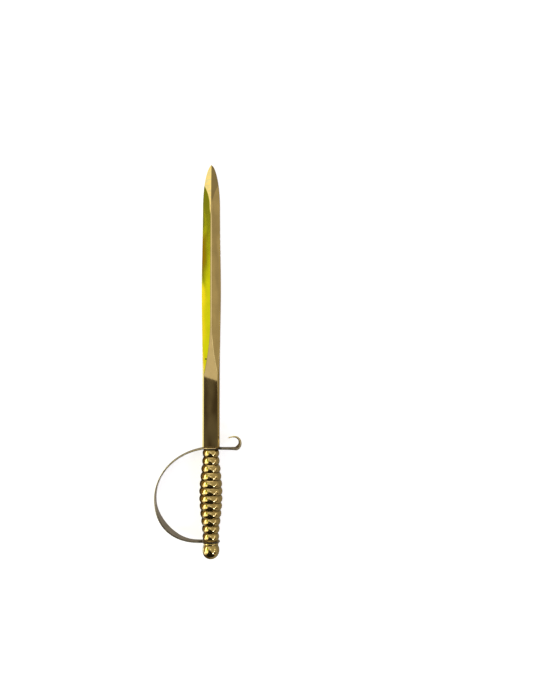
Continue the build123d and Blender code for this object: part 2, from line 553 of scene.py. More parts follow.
BLADE_BRASS = BrassFinish(
    slot="blade_brass",
    fresh=(0.86, 0.64, 0.27),
    dull=(0.78, 0.58, 0.25),
    rubbed=(0.93, 0.74, 0.38),
    film=(0.02, 0.013, 0.006),
    grain=Grain.ALONG_BLADE,
    polish=(0.012, 0.035),
    lines=0.01,
    scoring=0.02,
    film_start=0.55,
    film_blur=0.05,
    clouds=0.12,
)
# Its film's brown also stands as painted shade on the guard's darkened edges.
STRIP_BRASS = BrassFinish(
    slot="strip_brass",
    fresh=(0.72, 0.63, 0.48),
    dull=(0.6, 0.52, 0.39),
    rubbed=(0.86, 0.66, 0.3),
    film=(0.08, 0.06, 0.036),
    grain=Grain.ALONG_STRIP,
    polish=(0.3, 0.42),
    lines=0.14,
    scoring=0.7,
    film_start=0.6,
    film_blur=0.25,
    clouds=0.3,
)
TURNED_BRASS = BrassFinish(
    slot="turned_brass",
    fresh=(0.88, 0.66, 0.25),
    dull=(0.8, 0.58, 0.22),
    rubbed=(0.93, 0.74, 0.38),
    film=(0.09, 0.05, 0.015),
    grain=Grain.ROUND_AXIS,
    polish=(0.04, 0.09),
    lines=0.03,
    scoring=0.14,
    film_start=0.62,
    film_blur=0.25,
    clouds=0.15,
)


def put(name: str, data: bpy.types.ID) -> bpy.types.Object:
    """Make an object of its data and put it in the scene.

    Args:
        name: The object's name.
        data: Its mesh, curve or camera.

    Returns:
        The object.
    """
    made = bpy.data.objects.new(name, data)
    bpy.context.scene.collection.objects.link(made)
    return made


def finish_mesh(mesh: bpy.types.Mesh, hilt: HiltFrame, sharp: float) -> None:
    """Close a mesh, turn its faces outwards, smooth it and put it in place.

    Args:
        mesh: The mesh, in millimetres on the hilt's axes.
        hilt: The frame it goes into.
        sharp: Edges that turn by more than this angle, in degrees, stay sharp.
    """
    shell = bmesh.new()
    shell.from_mesh(mesh)
    bmesh.ops.remove_doubles(shell, verts=shell.verts, dist=WELD)
    bmesh.ops.dissolve_degenerate(shell, edges=shell.edges, dist=WELD)
    bmesh.ops.recalc_face_normals(shell, faces=shell.faces)
    shell.to_mesh(mesh)
    shell.free()
    mesh.shade_smooth()
    mesh.set_sharp_from_angle(angle=math.radians(sharp))
    hilt.place(mesh)


def loft(name: str, rings: np.ndarray, cavity: np.ndarray) -> bpy.types.Mesh:
    """Skin a row of closed rings and cap both ends.

    Args:
        name: The mesh's name.
        rings: Points in millimetres, as rows, points round a row, and x, y, z.
        cavity: How deep in a hollow each point lies, from 0 to 1, as rows and points.

    Returns:
        The mesh.
    """
    rows, around, _ = rings.shape
    index = np.arange(rows * around).reshape(rows, around)
    turned = np.roll(index, -1, axis=1)
    quads = np.stack((index[:-1], turned[:-1], turned[1:], index[1:]), axis=-1).reshape(-1, 4)
    faces = quads.tolist() + [index[0, ::-1].tolist(), index[-1].tolist()]
    mesh = bpy.data.meshes.new(name)
    mesh.from_pydata(rings.reshape(-1, 3).tolist(), [], faces)
    layer = mesh.attributes.new(CAVITY, "FLOAT", "POINT")
    layer.data.foreach_set("value", cavity.astype(np.float32).ravel())
    return mesh


def grown(source: bpy.types.Object, tree: bpy.types.NodeTree, values: dict[str, Any]) -> bpy.types.Mesh:
    """Run a Geometry Nodes tree on an object and keep its result as a plain mesh.

    Args:
        source: The object that carries the tree. It is removed afterwards.
        tree: The tree.
        values: A value for each of the tree's named inputs, with None for geometry.

    Returns:
        The mesh.
    """
    modifier = source.modifiers.new(tree.name, "NODES")
    modifier.node_group = tree
    for socket in tree.interface.items_tree:
        if socket.in_out == "INPUT" and values[socket.name] is not None:
            modifier[socket.identifier] = values[socket.name]
    graph = bpy.context.evaluated_depsgraph_get()
    mesh = bpy.data.meshes.new_from_object(source.evaluated_get(graph), depsgraph=graph)
    source.modifiers.remove(modifier)
    bpy.data.objects.remove(source)
    return mesh


@dataclass
class Piece(ABC):
    """One piece of the opener: the node that it stands for, its finish and how sharp its edges stay."""

    material: bpy.types.Material
    node: ClassVar[str]
    finish: ClassVar[BrassFinish]
    sharp: ClassVar[float]

    @abstractmethod
    def mesh(self) -> bpy.types.Mesh:
        """Return the piece's mesh, in millimetres on the hilt's axes."""

    def build(self, hilt: HiltFrame) -> bpy.types.Object:
        """Make the piece, dress it and say which node it stands for.

        Args:
            hilt: The frame it goes into.

        Returns:
            The piece.
        """
        mesh = self.mesh()
        finish_mesh(mesh, hilt, self.sharp)
        mesh.materials.clear()
        mesh.materials.append(self.material)
        piece = put(f"{self.node}_skin", mesh)
        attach(piece, BODY)
        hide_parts(self.node)
        return piece


@dataclass
class Blade(Piece):
    """Leaf-shaped blade with a central ridge, four ground bevels, a flat ricasso and its tang."""

    node = "blade"
    finish = BLADE_BRASS
    sharp = 32.0
    length: float = 142.2
    thickness: float = 2.6
    width: float = 9.7
    belly_at: float = 78.0
    ricasso_width: float = 8.6
    ricasso_length: float = 36.0
    ricasso_chamfer: float = 0.8
    shoulder_chamfer: float = 0.3
    edge_thickness: float = 0.43
    ridge_land: float = 0.5
    grind_start: float = 63.5
    grind_radius: float = 500.0
    point_length: float = 22.4
    point_overcut: float = 0.8
    point_thickness: float = 0.56
    point_grind: float = 20.8
    point_tilt: float = 8.5
    point_round: float = 0.12
    tang_width: float = 4.0
    tang_thickness: float = 2.0
    tang_end_width: float = 2.2
    tang_flat: float = 45.2
    tang_end: float = 52.0
    softness: float = 0.009
    waviness: float = 0.004
    wave_lengths: Span = (6.1, 2.9)
    wave_share: float = 0.7
    wave_slant: float = 0.55
    wave_shift: float = 2.1
    wave_fade: float = 0.3
    pit: Span = (-2.45, 44.2)
    pit_radius: float = 0.3
    pit_depth: float = 0.06
    pit_stain: float = 2.0
    nicks: tuple[float, ...] = (96.2, 99.4, 102.1, 104.6, 107.9)
    nick_shares: tuple[float, ...] = (1.0, 0.55, 0.8, 1.0, 0.55)
    nick_width: float = 0.45
    nick_depth: float = 0.13
    nick_reach: float = 0.9
    seat_film: float = 0.9
    seat_reach: float = 0.9
    share_runs: tuple[Run, ...] = ((0, 0.12, 7), (0.16, 0.72, 14), (0.75, 0.97, 11))
    edge_shares: tuple[float, ...] = (0.985, 0.995, 1.0)
    row_runs: tuple[Run, ...] = ((0, 0.6, 9), (1.4, 32, 26), (32.2, 66, 220), (67, 94, 28), (94.2, 110, 80))
    point_rows: tuple[float, int] = (110.2, 170)

    def half_width(self, along: np.ndarray) -> np.ndarray:
        """Find the outline's half width.

        Args:
            along: Distances from the shoulder.

        Returns:
            The half width at each of them.
        """
        base = self.ricasso_width / 2
        start = self.length - self.point_length
        swell = np.where(
            along < self.belly_at,
            (along - self.ricasso_length) / (self.belly_at - self.ricasso_length),
            (start - along) / (start - self.belly_at),
        ).clip(0, 1)
        belly = base + (self.width / 2 - base) * swell**2 * (3 - 2 * swell)
        reach = base + self.point_overcut
        ellipse = self.point_length / math.sqrt(1 - (self.point_overcut / reach) ** 2)
        fall = ((along - start) / ellipse).clip(0, 1)
        return belly - reach * (1 - np.sqrt(1 - fall**2))

    def bevel(self, across: np.ndarray, along: np.ndarray, half: np.ndarray) -> np.ndarray:
        """Find the height of the long bevels, with the slight waves that a hand grinder leaves.

        Args:
            across: Distances from the axis, to either side.
            along: Distances from the shoulder.
            half: The outline's half width there.

        Returns:
            The height above the blade's middle plane.
        """
        top = self.thickness / 2
        out = np.abs(across)
        slope = (top - self.edge_thickness / 2) / (self.width / 2 - self.ridge_land / 2)
        back = (self.grind_start - along).clip(0, None)
        rise = self.grind_radius - np.sqrt(self.grind_radius**2 - back**2)
        side = np.where(across < 0, 0.0, self.wave_shift)
        long, short = self.wave_lengths
        ripple = np.sin(along / short + self.wave_slant * across + 2 * side)
        wave = np.sin(along / long + side) + self.wave_share * ripple
        flat = top - (out - self.ridge_land / 2) * slope + rise * math.hypot(1, slope)
        return flat + self.waviness * wave * (out / half.clip(self.wave_fade, None)).clip(0, 1)

    def height(self, across: np.ndarray, along: np.ndarray) -> np.ndarray:
        """Find half the blade's thickness where the ground planes leave it.

        Args:
            across: Distances from the axis, to either side.
            along: Distances from the shoulder, of the same shape.

        Returns:
            The upper surface's height above the blade's middle plane.
        """
        top = self.thickness / 2
        out = np.abs(across)
        half = self.half_width(along)
        tilt = math.tan(math.radians(self.point_tilt))
        ahead = (along - self.length) / self.point_grind + 1
        drop = (top - self.point_thickness / 2) * ahead * np.abs(ahead)
        point = top - drop - out * tilt
        chamfer = half + top - self.ricasso_chamfer - out
        shoulder = top - self.shoulder_chamfer + along
        bevel = self.bevel(across, along, half)
        planes = np.stack((np.full_like(out, top), bevel, point, chamfer, shoulder))
        lowest = planes.min(axis=0)
        near = np.exp((lowest - planes) / self.softness).sum(axis=0)
        ground = lowest - self.softness * np.log(near)
        return ground - self.pit_depth * self.pitting(across, along, 1.0)

    def pitting(self, across: np.ndarray, along: np.ndarray, spread: float) -> np.ndarray:
        """Return how far each place lies in the casting pit, widened by a factor, from 0 to 1."""
        away = np.hypot(across - self.pit[0], along - self.pit[1]) / self.pit_radius / spread
        return np.exp(-(away**4))

    def nicked(self, along: np.ndarray) -> np.ndarray:
        """Find how much the nicks take off the right edge.

        Args:
            along: Distances from the shoulder.

        Returns:
            The depth at each of them.
        """
        depth = np.zeros_like(along)
        for place, share in zip(self.nicks, self.nick_shares):
            depth += share * self.nick_depth * np.exp(-(((along - place) / self.nick_width) ** 2))
        return depth

    def mesh(self) -> bpy.types.Mesh:
        """Loft the tang and the ground blade as rings that run round the edges.

        Returns:
            The mesh, in millimetres on the hilt's axes.
        """
        half = np.concatenate([np.linspace(*run) for run in self.share_runs] + [self.edge_shares])
        share = np.concatenate((-half[:0:-1], half))
        flat = np.zeros_like(share)
        first, count = self.point_rows
        runs = (*self.row_runs, (first, self.length - self.point_round, count))
        along = np.concatenate([np.linspace(*run) for run in runs])[:, None] + flat
        nicks = np.where(share > self.nick_reach, self.nicked(along), 0)
        across = share * (self.half_width(along) - nicks)
        tang_along = np.array((-self.tang_end, -self.tang_flat, -self.tang_flat, 0.0))
        tang_width = np.array((self.tang_end_width, self.tang_end_width, self.tang_width, self.tang_width))
        tang_height = np.minimum(tang_width, self.tang_thickness) / 2
        x = np.concatenate((tang_width[:, None] / 2 * share, across))
        y = np.concatenate((tang_along[:, None] + flat, along))
        z = np.concatenate((tang_height[:, None] + flat, self.height(across, along)))
        upper = np.stack((x, y, z), axis=-1)
        lower = np.stack((x, y, -z), axis=-1)[:, ::-1]
        seat = np.exp(-np.abs(y) / self.seat_reach) * self.seat_film
        stain = np.maximum(self.pitting(x, y, self.pit_stain), seat)
        rings = np.concatenate((upper, lower), axis=1)
        return loft("blade_skin", rings, np.hstack((stain, seat[:, ::-1])))


@dataclass(frozen=True)
class PathPoint:
    """A point that the guard's middle line passes, with its heading and the reach of its two handles."""

    x: float
    y: float
    heading: float
    before: float
    after: float


@dataclass(frozen=True)
class Station:
    """The strip's section at a share of the way from the eye to the curled tail.

    Its last measure is how far wear has bared the edges, up to 1, or below zero how far painted shade
    darkens them towards the film's brown.
    """

    share: float
    width: float
    thickness: float
    twist: float
    rub: float


@dataclass
class Guard(Piece):
    """One bent brass strip: eye, knuckle bow, cross with its tang slot, quillon and curled tail."""

    node = "guard"
    finish = STRIP_BRASS
    sharp = 40.0
    thickness: float = 0.8
    stock_width: float = 7.0
    corner: float = 0.2
    corner_points: int = 4
    cross_half: float = 3.5
    cross_diameter: float = 8.4
    cross_bore: float = 1.0
    cross_rub: float = 0.9
    bow_reach: float = 28.2
    bow_drop: float = 25.2
    bow_overcut: float = 1.5
    neck_length: float = 7.2
    eye_depth: float = 46.6
    eye_diameter: float = 9.0
    eye_bore: float = 2.7
    # The eye's rim is darkened towards the film's brown as painted shade.
    eye_rim_shade: float = -0.42
    eye_points: int = 96
    quillon_run: float = 8.25
    curl_radius: float = 2.9
    tail_radius: float = 7.7
    tail_turn: float = 21.0
    slot_width: float = 4.1
    slot_thickness: float = 2.7
    resolution: int = 64
    steps: int = 420
    wear_and_shade_band: Span = (0.35, 0.1)
    rim_slack: float = 0.02
    # Where, across its thickness, the cross's rim turns to the eye's painted shade.
    cross_shade_span: Span = (-0.35, -0.55)
    crowd_span: Span = (6.0, 3.0)
    eye_crowd: float = 0.45
    # A last value below zero is painted shade that darkens the edges towards the film's brown; above zero
    # it is wear.
    stations: tuple[Station, ...] = (
        Station(0.0, 4.8, 0.8, 0.0, -0.9),
        Station(0.048, 4.8, 0.8, 0.0, -0.9),
        Station(0.207, 7.0, 0.8, -3.0, -0.95),
        Station(0.366, 6.88, 0.8, 9.0, -0.4),
        Station(0.738, 6.4, 0.8, 0.0, 0.4),
        Station(0.804, 6.4, 0.8, 0.0, -0.92),
        Station(0.885, 5.6, 0.8, 4.0, -0.92),
        Station(0.907, 5.6, 0.8, 16.0, 0.1),
        Station(1.0, 2.8, 0.5, 0.0, 0.9),
    )
    station_spans: tuple[tuple[str, float], ...] = (
        ("width", 10.0),
        ("thickness", 1.0),
        ("twist", 30.0),
        ("rub", 1.0),
    )

    def path(self) -> tuple[PathPoint, ...]:
        """Draw the middle line.

        Returns:
            Its points from the eye round the bow, through the cross, to the tail's end.
        """
        quarter = 4 / 3 * math.tan(math.radians(90) / 4)
        middle = -self.thickness / 2
        far_y = middle - self.bow_drop
        lower = self.eye_depth + far_y
        neck = self.bow_reach - self.neck_length
        bent = math.acos((self.cross_half + self.bow_overcut) / (self.bow_reach + self.bow_overcut))
        sweep = 4 / 3 * math.tan(bent / 4)
        rise = self.bow_drop / math.sin(bent)
        start = (self.bow_reach + self.bow_overcut) * math.sin(bent)
        slope = rise * math.cos(bent)
        leave = math.degrees(math.atan2(slope, start))
        lead = sweep * math.hypot(start, slope)
        bend = self.cross_half + self.quillon_run
        curl = self.curl_radius
        top = middle + 2 * curl
        turn = math.radians(self.tail_turn)
        tail = 4 / 3 * math.tan(turn / 4) * self.tail_radius
        end_x = bend - self.tail_radius * math.sin(turn)
        end_y = top - self.tail_radius * (1 - math.cos(turn))
        run = neck / 6
        crease = self.thickness / 3
        return (
            PathPoint(-self.eye_diameter / 4, -self.eye_depth, 180, run, run),
            PathPoint(-self.neck_length, -self.eye_depth, 180, run, quarter * neck),
            PathPoint(-self.bow_reach, far_y, 90, quarter * lower, sweep * rise),
            PathPoint(-self.cross_half, middle, leave, lead, crease),
            PathPoint(crease - self.cross_half, middle, 0, crease, run),
            PathPoint(bend, middle, 0, run, quarter * curl),
            PathPoint(bend + curl, middle + curl, 90, quarter * curl, quarter * curl),
            PathPoint(bend, top, 180, quarter * curl, tail),
            PathPoint(end_x, end_y, 180 + self.tail_turn, tail, tail),
        )

    def curve(self) -> bpy.types.Object:
        """Make the middle line.

        Returns:
            The curve object.
        """
        data = bpy.data.curves.new("guard_line", "CURVE")
        data.dimensions = "3D"
        data.resolution_u = self.resolution
        spline = data.splines.new("BEZIER")
        route = self.path()
        spline.bezier_points.add(len(route) - 1)
        for knot, point in zip(spline.bezier_points, route):
            heading = math.radians(point.heading)
            ahead = Vector((math.cos(heading), math.sin(heading), 0.0))
            knot.co = (point.x, point.y, 0.0)
            knot.handle_left_type = knot.handle_right_type = "FREE"
            knot.handle_left = knot.co - ahead * point.before
            knot.handle_right = knot.co + ahead * point.after
        return put("guard_line", data)

    def sizes(self) -> dict[str, Any]:
        """Return the values of the tree's named inputs."""
        return {
            "Geometry": None,
            "Steps": self.steps,
            "Stock Width": self.stock_width,
            "Thickness": self.thickness,
            "Corner": self.corner,
            "Eye Diameter": self.eye_diameter,
            "Eye Bore": self.eye_bore,
            "Eye Place": (0.0, -self.eye_depth, 0.0),
            "Eye Rub": self.eye_rim_shade,
            "Cross Diameter": self.cross_diameter,
            "Cross Bore": self.cross_bore,
            "Cross Place": (0.0, -self.thickness / 2, 0.0),
            "Cross Rub": self.cross_rub,
            "Slot": (self.slot_width, 4 * self.thickness, self.slot_thickness),
        }

    def rule(self, sheet: NodeSheet, share: Wire, field: str, span: float) -> Wire:
        """Find one measure of the stations as it changes along the strip.

        Args:
            sheet: The tree.
            share: The share of the way along.
            field: The station's field.
            span: The largest size of that measure, either way.

        Returns:
            The measure.
        """
        curve = sheet.node("ShaderNodeFloatCurve", Value=share)
        line = curve.mapping.curves[0]
        marks = [(station.share, 0.5 + getattr(station, field) / span / 2) for station in self.stations]
        for mark in marks[1:-1]:
            line.points.new(*mark)
        for point, mark in zip(line.points, marks):
            point.location = mark
            point.handle_type = "AUTO_CLAMPED"
        curve.mapping.update()
        return (Wire(sheet, curve.outputs[0]) - 0.5) * (span * 2)

    def section(self, sheet: NodeSheet, width: Any) -> Wire:
        """Draw a bar section with round corners and keep its shape on its points.

        Args:
            sheet: The tree.
            width: The bar's width.

        Returns:
            The section's curve.
        """
        thickness = sheet.source["Thickness"]
        bar = sheet.out("GeometryNodeCurvePrimitiveQuadrilateral", Width=width, Height=thickness)
        rounded = sheet.out(
            "GeometryNodeFilletCurve",
            {"mode": "POLY"},
            Curve=bar,
            Count=self.corner_points,
            Radius=sheet.source["Corner"],
        )
        return sheet.store(rounded, "section", sheet.out("GeometryNodeInputPosition"), VECTOR)

    def strip(self, sheet: NodeSheet) -> Wire:
        """Sweep the section along the line, with the stations' width, thickness, twist, and edge wear and
        painted shade.

        Args:
            sheet: The tree.

        Returns:
            The strip's mesh, with its lengths and its edge wear and painted shade kept on its points.
        """
        source = sheet.source
        line = sheet.out("GeometryNodeResampleCurve", Curve=source["Geometry"], Count=source["Steps"])
        line = sheet.store(line, ALONG, sheet.out("GeometryNodeSplineParameter", output="Length"))
        line = sheet.store(line, "share", sheet.out("GeometryNodeSplineParameter", output="Factor"))
        line = sheet.store(line, "middle", sheet.out("GeometryNodeInputPosition"), VECTOR)
        line = sheet.store(line, "heading", sheet.out("GeometryNodeInputTangent"), VECTOR)
        bar = self.section(sheet, source["Stock Width"])
        swept = sheet.out("GeometryNodeCurveToMesh", Curve=line, Profile_Curve=bar, Fill_Caps=True)
        share = sheet.kept("share")
        measures = (self.rule(sheet, share, field, span) for field, span in self.station_spans)
        width, thickness, twist, rub = measures
        shape = sheet.parts(sheet.kept("section", VECTOR))
        narrowed = (source["Stock Width"] - width) * 0.5
        across = shape["X"] - sheet.math("SIGN", shape["X"]) * narrowed
        through = shape["Y"] * (thickness / source["Thickness"])
        turned = sheet.out(
            "ShaderNodeVectorRotate",
            {"rotation_type": "Z_AXIS"},
            Vector=sheet.combine(across, through, 0.0),
            Angle=sheet.math("RADIANS", twist),
        )
        offset = sheet.parts(turned)
        side = sheet.vector("CROSS_PRODUCT", sheet.kept("heading", VECTOR), UP)
        raised = sheet.vector("ADD", sheet.kept("middle", VECTOR), sheet.scaled(UP, offset["X"]))
        placed = sheet.vector("ADD", raised, sheet.scaled(side, offset["Y"]))
        to_edge = width * 0.5 - abs(across)
        swept = sheet.store(swept, ACROSS, across)
        swept = sheet.store(swept, EDGE, rub * sheet.ramp(to_edge, *self.wear_and_shade_band))
        return sheet.out("GeometryNodeSetPosition", Geometry=swept, Position=placed)

    def washer(self, sheet: NodeSheet, name: str) -> Wire:
        """Make one of the strip's two round eyes.

        Args:
            sheet: The tree.
            name: The word that the eye's own inputs start with.

        Returns:
            The eye's mesh.
        """
        source = sheet.source
        half_bore = source[f"{name} Bore"] * 0.5
        rim = (source[f"{name} Diameter"] * 0.5 - half_bore) * 0.5
        radius = half_bore + rim
        circle = sheet.out("GeometryNodeCurvePrimitiveCircle", Resolution=self.eye_points, Radius=radius)
        circle = sheet.store(circle, "middle", sheet.out("GeometryNodeInputPosition"), VECTOR)
        bar = self.section(sheet, rim * 2.0)
        ring = sheet.out("GeometryNodeCurveToMesh", Curve=circle, Profile_Curve=bar)
        middle = sheet.kept("middle", VECTOR)
        shape = sheet.parts(sheet.kept("section", VECTOR))
        outward = sheet.scaled(sheet.vector("NORMALIZE", middle), shape["X"])
        spot = sheet.vector("ADD", sheet.vector("ADD", middle, outward), sheet.scaled(UP, shape["Y"]))
        ring = sheet.out("GeometryNodeSetPosition", Geometry=ring, Position=spot)
        return sheet.out(
            "GeometryNodeTransform",
            Geometry=ring,
            Translation=source[f"{name} Place"],
            Rotation=(math.radians(90), 0.0, 0.0),
        )

    def marked(self, sheet: NodeSheet, joined: Wire, strip: Wire) -> Wire:
        """Keep what the finish reads on the joined guard.

        Joining the meshes mixes up the values on their points, so each is found again from its place: in
        the eyes from the distance to the rim, and elsewhere from the nearest place on the strip.

        Args:
            sheet: The tree.
            joined: The guard's mesh.
            strip: The strip before it was joined.

        Returns:
            The guard's mesh with the values.
        """
        source = sheet.source
        here = sheet.parts(sheet.out("GeometryNodeInputPosition"))
        at_eye = here["Y"] < sheet.parts(source["Eye Place"])["Y"] * 0.5
        diameter = sheet.blend(at_eye, source["Cross Diameter"], source["Eye Diameter"])
        reach = sheet.math("SQRT", here["X"] * here["X"] + here["Z"] * here["Z"])
        to_rim = diameter * 0.5 - reach
        in_eye = to_rim > -self.rim_slack
        # The half of the cross's rim towards the grip takes the eye's painted shade.
        under = sheet.ramp(here["Y"], *self.cross_shade_span)
        cross_rub = sheet.blend(under, source["Cross Rub"], source["Eye Rub"])
        rim_wear_and_shade = sheet.blend(at_eye, cross_rub, source["Eye Rub"]) * sheet.ramp(to_rim, *self.wear_and_shade_band)
        for name, in_rim in ((ALONG, here["X"]), (ACROSS, here["Z"]), (EDGE, rim_wear_and_shade)):
            nearest = sheet.out(
                "GeometryNodeSampleNearestSurface",
                {"data_type": "FLOAT"},
                "Value",
                Mesh=strip,
                Value=sheet.kept(name),
            )
            joined = sheet.store(joined, name, sheet.blend(in_eye, nearest, in_rim))
        crowded = sheet.ramp(abs(here["X"]), *self.crowd_span) * sheet.blend(at_eye, 1.0, self.eye_crowd)
        # A negative edge value is painted shade and adds to the film's mask; the crowded share is film
        # where the strip meets the other parts.
        rubbed = sheet.kept(EDGE)
        tarnish_and_shade = crowded * (1.0 - rubbed) - sheet.math("MINIMUM", rubbed, 0.0)
        return sheet.store(joined, CAVITY, tarnish_and_shade)

    def tree(self) -> bpy.types.NodeTree:
        """Draw the tree that sweeps the strip along its line, joins the eyes to it and cuts its slot.

        Returns:
            The tree.
        """
        sheet = NodeSheet.group("Bent strip", TreeKind.GEOMETRY, self.sizes(), "Geometry")
        strip = self.strip(sheet)
        union = sheet.node("GeometryNodeMeshBoolean", {"operation": "UNION", "solver": "EXACT"})
        for solid in (strip, self.washer(sheet, "Eye"), self.washer(sheet, "Cross")):
            sheet.feed(union.inputs["Mesh 2"], solid)
        slotted = sheet.out(
            "GeometryNodeMeshBoolean",
            {"operation": "DIFFERENCE", "solver": "EXACT"},
            Mesh_1=union.outputs["Mesh"],
            Mesh_2=sheet.out("GeometryNodeMeshCube", Size=sheet.source["Slot"]),
        )
        return sheet.close(self.marked(sheet, slotted, strip), self.material)

    def mesh(self) -> bpy.types.Mesh:
        """Return what the tree makes of the middle line."""
        return grown(self.curve(), self.tree(), self.sizes())


@dataclass
class Grip(Piece):
    """Turned barrel with rounded ribs and a bore for the tang."""

    node = "grip"
    finish = TURNED_BRASS
    sharp = 60.0
    top: float = 0.8
    length: float = 45.4
    belly: float = 11.7
    end: float = 8.25
    ribs: int = 12
    rib_depth: float = 0.7
    bore: float = 5.0
    rows_per_rib: int = 16
    around: int = 112
    unevenness: float = 0.05
    seed: int = 4
    weld: float = 0.0005

    def sizes(self) -> dict[str, Any]:
        """Return the values of the tree's named inputs."""
        return {
            "Top": self.top,
            "Length": self.length,
            "Belly Diameter": self.belly,
            "End Diameter": self.end,
            "Bore Diameter": self.bore,
            "Ribs": self.ribs,
            "Rib Depth": self.rib_depth,
            "Rows per Rib": self.rows_per_rib,
            "Around": self.around,
            "Unevenness": self.unevenness,
            "Seed": self.seed,
        }

    def tree(self) -> bpy.types.NodeTree:
        """Draw the tree that turns the ribbed barrel from a flat grid.

        The grid's first row is the bore's upper rim. The ribs follow, then the bore's lower rim, and the
        last row goes back up to the first.

        Returns:
            The tree.
        """
        sheet = NodeSheet.group("Ribbed barrel", TreeKind.GEOMETRY, self.sizes(), "Geometry")
        source = sheet.source
        ribs = source["Ribs"]
        rib_depth = source["Rib Depth"]
        steps = ribs * source["Rows per Rib"]
        rows = steps + 4.0
        columns = source["Around"] + 1.0
        grid = sheet.in_order("GeometryNodeMeshGrid", {}, 1.0, 1.0, columns, rows)
        flat = sheet.parts(sheet.out("GeometryNodeInputPosition"))
        angle = (flat["X"] + 0.5) * (2 * math.pi)
        row = sheet.math("ROUND", (flat["Y"] + 0.5) * (rows - 1.0))
        returned = row > steps + 2.5
        down = sheet.ramp(row, 1.0, steps + 1.0) * (1.0 - returned)
        in_bore = sheet.math("MAXIMUM", row > steps + 1.5, row < 0.5)
        at = down * ribs
        rib = sheet.math("FLOOR", sheet.math("MINIMUM", at, ribs - 0.001))
        swell = sheet.math("COSINE", (down - 0.5) * math.pi)
        gain = source["Belly Diameter"] - source["End Diameter"]
        barrel = (swell * swell * gain + source["End Diameter"]) * 0.5
        half_pitch = source["Length"] * 0.5 / ribs
        curve = (rib_depth * rib_depth + half_pitch * half_pitch) / 2.0 / rib_depth
        aside = ((at - rib) * 2.0 - 1.0) * half_pitch
        arc = sheet.math("SQRT", curve * curve - aside * aside)
        bulge = arc - (curve - rib_depth)
        random = sheet.node(
            "FunctionNodeRandomValue", {"data_type": "FLOAT"}, ID=rib, Seed=source["Seed"], Min=-1.0
        )
        jitter = next(socket for socket in random.outputs if socket.enabled and socket.type == "VALUE")
        uneven = Wire(sheet, jitter) * source["Unevenness"] * bulge
        outside = barrel - rib_depth + (bulge + uneven)
        inside = source["Bore Diameter"] * 0.5
        radius = sheet.blend(in_bore, outside, inside)
        depth = down * source["Length"] + source["Top"]
        placed = sheet.combine(
            radius * sheet.math("COSINE", angle), depth * -1.0, radius * sheet.math("SINE", angle)
        )
        hollowed = sheet.store(grid, CAVITY, 1.0 - bulge / rib_depth)
        turned = sheet.out("GeometryNodeSetPosition", Geometry=hollowed, Position=placed)
        closed = sheet.out("GeometryNodeMergeByDistance", Geometry=turned, Distance=self.weld)
        return sheet.close(closed, self.material)

    def mesh(self) -> bpy.types.Mesh:
        """Return what the tree makes, on an empty mesh."""
        blank = put("grip_blank", bpy.data.meshes.new("grip_blank"))
        return grown(blank, self.tree(), self.sizes())


@dataclass
class Pommel(Piece):
    """Turned cap: a rounded collar, a narrow groove, an egg-shaped end and a blind socket for the tang."""

    node = "pommel"
    finish = TURNED_BRASS
    sharp = 50.0
    top: float = 47.0
    groove_at: float = 1.2
    groove_width: float = 0.1
    groove_radius: float = 3.6
    groove_film: float = 0.8
    groove_fade: float = 6.0
    collar_swell: float = 0.3
    collar_roundness: float = 0.7
    collar_film: Span = (0.25, 0.9)
    collar_rows: int = 14
    ball_radius: float = 4.3
    ball_at: float = 3.9
    ball_rows: int = 48
    ball_end: float = 89.5
    dome: float = 4.5
    socket_radius: float = 1.3
    socket_depth: float = 5.4
    socket_hub: float = 0.02
    around: int = 112

    def profile(self) -> np.ndarray:
        """Draw the outline from the socket's bottom, out over the collar, to the egg's end.

        Returns:
            Rows of radius, depth and how deep in a hollow the place lies.
        """
        depth = self.top + self.socket_depth
        hub, wall = self.socket_hub, self.socket_radius
        socket = np.array(((hub, depth, 1.0), (wall, depth, 1.0), (wall, self.top, 1.0)))
        down = np.linspace(0, 1, self.collar_rows)
        swell = self.collar_swell * np.sin(math.pi * down) ** self.collar_roundness
        least, most = self.collar_film
        film = least + most * np.abs(2 * down - 1) ** 2
        collar = np.stack((self.groove_radius + swell, self.top + self.groove_at * down, film), axis=1)
        start = math.asin((self.ball_at - self.groove_at - self.groove_width) / self.dome)
        fall = np.linspace(-start, math.radians(self.ball_end), self.ball_rows)
        film = (self.groove_film - self.groove_fade * (fall + start)).clip(0, None)
        depth = self.top + self.ball_at + self.dome * np.sin(fall)
        egg = np.stack((self.ball_radius * np.cos(fall), depth, film), axis=1)
        return np.concatenate((socket, collar, egg))

    def mesh(self) -> bpy.types.Mesh:
        """Turn the outline round the hilt's axis.

        Returns:
            The mesh, in millimetres on the hilt's axes.
        """
        radius, depth, hollow = self.profile().T[:, :, None]
        angle = np.linspace(0, 2 * math.pi, self.around, endpoint=False)
        level = np.zeros_like(angle)
        rings = np.stack((radius * np.cos(angle), level - depth, radius * np.sin(angle)), axis=-1)
        return loft("pommel_skin", rings, hollow + level)


def crosswise(x: Span, y: Span, z: Span) -> Corners:
    """Return the corners of a card whose first and last edge run along X."""
    return ((x[0], y[0], z[0]), (x[1], y[0], z[0]), (x[1], y[1], z[1]), (x[0], y[1], z[1]))


def lengthwise(x: Span, y: Span, z: Span) -> Corners:
    """Return the corners of a card whose first and last edge run along Y."""
    return ((x[0], y[0], z[0]), (x[0], y[1], z[0]), (x[1], y[1], z[1]), (x[1], y[0], z[1]))


def flat_mesh(name: str, corners: Corners) -> bpy.types.Mesh:
    """Make a single face.

    Args:
        name: The mesh's name.
        corners: Its four corners in millimetres.

    Returns:
        The mesh.
    """
    mesh = bpy.data.meshes.new(name)
    mesh.from_pydata([Vector(corner) * MM for corner in corners], [], [(0, 1, 2, 3)])
    return mesh


